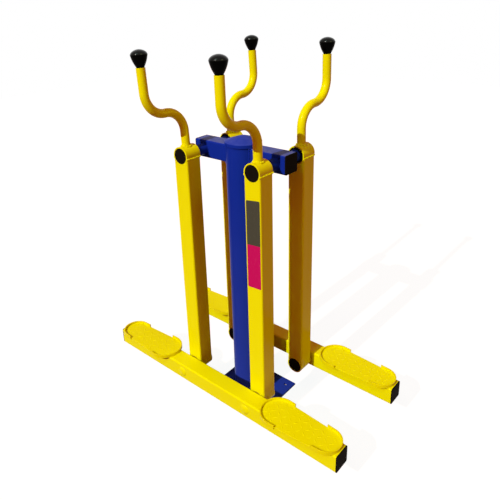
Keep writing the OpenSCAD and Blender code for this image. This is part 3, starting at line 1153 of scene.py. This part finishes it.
@dataclass
class CadFinishes:
    """Gives every CAD node its finish, by how its name ends or else by its material slot."""

    by_slot: dict[str, Finish] = field(
        default_factory=lambda: {
            "blue_paint": Finish.BLUE,
            "yellow_paint": Finish.YELLOW,
            "black_plastic": Finish.PLASTIC,
            "bare_steel": Finish.STEEL,
            "seal_rubber": Finish.RUBBER,
            "bearing_steel": Finish.BEARING,
        }
    )
    by_ending: dict[str, Finish] = field(
        default_factory=lambda: {
            "_knob": Finish.GRIP,
            "_foot_rims": Finish.RIM_YELLOW_PAINTED_SHADE,
            "post_cap": Finish.SKY_LIT_BLUE,
            "base_plate": Finish.TRODDEN_BLUE,
        }
    )

    def dress(self) -> None:
        """Assigns the finishes."""
        for row in frame["record"]["subparts"]:
            name = row["node"]
            special = [finish for ending, finish in self.by_ending.items() if name.endswith(ending)]
            finish = special[0] if special else self.by_slot[row["material_slot"]]
            for slot in frame["nodes"][name].material_slots:
                slot.material = finish.material()
            LOG.info("%s wears %s", name, finish.value.name)


@dataclass
class PhotoCamera:
    """The camera of the photograph, with its pinhole in pixels of a 500 by 500 frame.

    Yaw, pitch and roll are in radians.
    """

    place: Point = (1.0514771, -1.2238133, 1.4117559)
    focal_px: float = 525.788
    yaw: float = 0.734825
    pitch: float = -0.355971
    roll: float = -0.037936
    centre_px: tuple[float, float] = (232.356, 188.669)
    frame_px: float = 500.0
    sensor_mm: float = 36.0
    clip: tuple[float, float] = (0.05, 60.0)

    def build(self) -> None:
        """Makes the camera the scene's own."""
        lens = bpy.data.cameras.new("photo_camera")
        lens.sensor_fit = "HORIZONTAL"
        lens.sensor_width = self.sensor_mm
        lens.lens = self.focal_px / self.frame_px * self.sensor_mm
        lens.shift_x = (self.frame_px / 2.0 - self.centre_px[0]) / self.frame_px
        lens.shift_y = (self.centre_px[1] - self.frame_px / 2.0) / self.frame_px
        lens.clip_start, lens.clip_end = self.clip
        level = math.cos(self.pitch)
        forward = Vector((-math.sin(self.yaw) * level, math.cos(self.yaw) * level, math.sin(self.pitch)))
        across = forward.cross(Vector((0.0, 0.0, 1.0))).normalized()
        up = across.cross(forward)
        right = math.cos(self.roll) * across + math.sin(self.roll) * up
        top = -math.sin(self.roll) * across + math.cos(self.roll) * up
        camera = bpy.data.objects.new("photo_camera", lens)
        turn = Matrix((right, top, -forward)).transposed()
        camera.matrix_world = Matrix.Translation(self.place) @ turn.to_4x4()
        bpy.context.scene.collection.objects.link(camera)
        bpy.context.scene.camera = camera


@dataclass(frozen=True)
class Lamp:
    """One distant lamp.

    Its softness is how wide it looks from the object. Its elevation is its height above the
    horizon and its azimuth its turn from straight in front to the right, all in degrees.
    """

    name: str
    strength: float
    softness: float
    elevation: float
    azimuth: float = 0.0
    colour: Colour = (255, 255, 255)

    def build(self) -> None:
        """Adds the lamp to the scene."""
        lamp = bpy.data.lights.new(self.name, "SUN")
        lamp.energy = self.strength
        lamp.angle = math.radians(self.softness)
        lamp.color = linear(self.colour)[:3]
        light = bpy.data.objects.new(self.name, lamp)
        height, turn = math.radians(self.elevation), math.radians(self.azimuth)
        across, forward = math.sin(turn) * math.cos(height), -math.cos(turn) * math.cos(height)
        source = Vector((across, forward, math.sin(height)))
        light.rotation_euler = source.to_track_quat("Z", "Y").to_euler()
        bpy.context.scene.collection.objects.link(light)


@dataclass
class Studio:
    """White floor and sky for the camera, a sun from the front, two soft lamps and fill.

    The ground under the base plate, seen through its holes, has its own colour.
    """

    lamps: tuple[Lamp, ...] = (
        Lamp("studio_key", 3.17, softness=0.55, elevation=39.3, azimuth=-2.2),
        Lamp("studio_top", 0.50, softness=14.0, elevation=58.0, colour=(190, 255, 250)),
        Lamp("studio_side", 0.37, softness=18.0, elevation=35.0, azimuth=90.0, colour=(232, 255, 172)),
    )
    fill_colour: Colour = (252, 110, 98)
    fill_strength: float = 0.36
    floor_colour: Colour = (135, 99, 88)
    floor_deep_colour: Colour = (133, 97, 87)
    floor_blots_per_metre: float = 3.0
    ground_colour: Colour = (186, 166, 146)
    floor_glow: float = 0.935
    glow_colour: Colour = (248, 255, 255)
    floor_size: float = 14.0
    floor_drop: float = 0.4 * MM
    plate_half_width: float = 0.120

    def seen_directly(self, g: Graph) -> Expr:
        """Picks out the rays by which the background is seen.

        Args:
            g: the tree that asks.

        Returns:
            1 for rays from the camera, from gloss and through glass, else 0.
        """
        ray = g.add("ShaderNodeLightPath", {}, {})
        kinds = ("Is Camera Ray", "Is Glossy Ray", "Is Transmission Ray")
        camera, gloss, through = (Expr(g, ray.outputs[kind]) for kind in kinds)
        return camera.math("MAXIMUM", gloss).math("MAXIMUM", through)

    def sky(self) -> None:
        """Makes the world: plain fill for the object, white for what looks at it."""
        world = bpy.data.worlds.new("studio_sky")
        world.use_nodes = True
        world.node_tree.nodes.clear()
        g = Graph(world.node_tree)
        seen = self.seen_directly(g)
        soft = {"Color": linear(self.fill_colour), "Strength": self.fill_strength}
        fill = g.node("ShaderNodeBackground", {}, soft)
        white = g.node("ShaderNodeBackground", {}, {"Color": (1.0, 1.0, 1.0, 1.0), "Strength": 1.0})
        both = g.node("ShaderNodeMixShader", {}, {0: seen, 1: fill, 2: white})
        g.add("ShaderNodeOutputWorld", {}, {"Surface": both})
        bpy.context.scene.world = world

    def floor(self) -> None:
        """Makes the floor, which glows for the camera and still takes the shadow."""
        g = ShaderGraph("studio_floor")
        shade = g.noise(self.floor_blots_per_metre, detail=2.0)
        tone = g.mix(shade, self.floor_deep_colour, self.floor_colour)
        across, along, _ = g.split(g.place)
        away = across.math("ABSOLUTE").math("MAXIMUM", along.math("ABSOLUTE"))
        open_floor = away > self.plate_half_width
        tone = g.mix(open_floor, self.ground_colour, tone)
        matt = g.node("ShaderNodeBsdfDiffuse", {}, {"Color": tone})
        strength = self.seen_directly(g) * open_floor * self.floor_glow
        glow = g.node("ShaderNodeEmission", {}, {"Color": linear(self.glow_colour), "Strength": strength})
        both = g.node("ShaderNodeAddShader", {}, {0: matt, 1: glow})
        g.add("ShaderNodeOutputMaterial", {}, {"Surface": both})
        half, level = self.floor_size / 2.0, -self.floor_drop
        mesh = bpy.data.meshes.new("studio_floor")
        corners = [(-half, -half, level), (half, -half, level), (half, half, level), (-half, half, level)]
        mesh.from_pydata(corners, [], [(0, 1, 2, 3)])
        mesh.materials.append(g.material)
        new_object("studio_floor", mesh)

    def build(self) -> None:
        """Makes the sky, the floor, the lamps and the colour settings."""
        self.sky()
        self.floor()
        for lamp in self.lamps:
            lamp.build()
        bpy.context.scene.view_settings.view_transform = "Standard"


def main() -> None:
    """Builds the walker's looks in order."""
    arm_seed, beam_seed, seed_step = 100, 200, 10
    logging.basicConfig(level=logging.INFO, format="%(name)s: %(message)s")
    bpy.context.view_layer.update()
    PhotoCamera().build()
    Studio().build()
    CadFinishes().dress()
    Stand().build()
    arms = [Arm(side, end) for side in Side for end in End]
    for number, arm in enumerate(arms):
        arm.build(arm_seed + seed_step * number)
    Label(Arm(Side.NEAR, End.RIGHT)).build()
    for number, side in enumerate(Side):
        FootBeam(side).build(beam_seed + seed_step * number)
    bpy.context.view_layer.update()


if __name__ == "__main__":
    main()
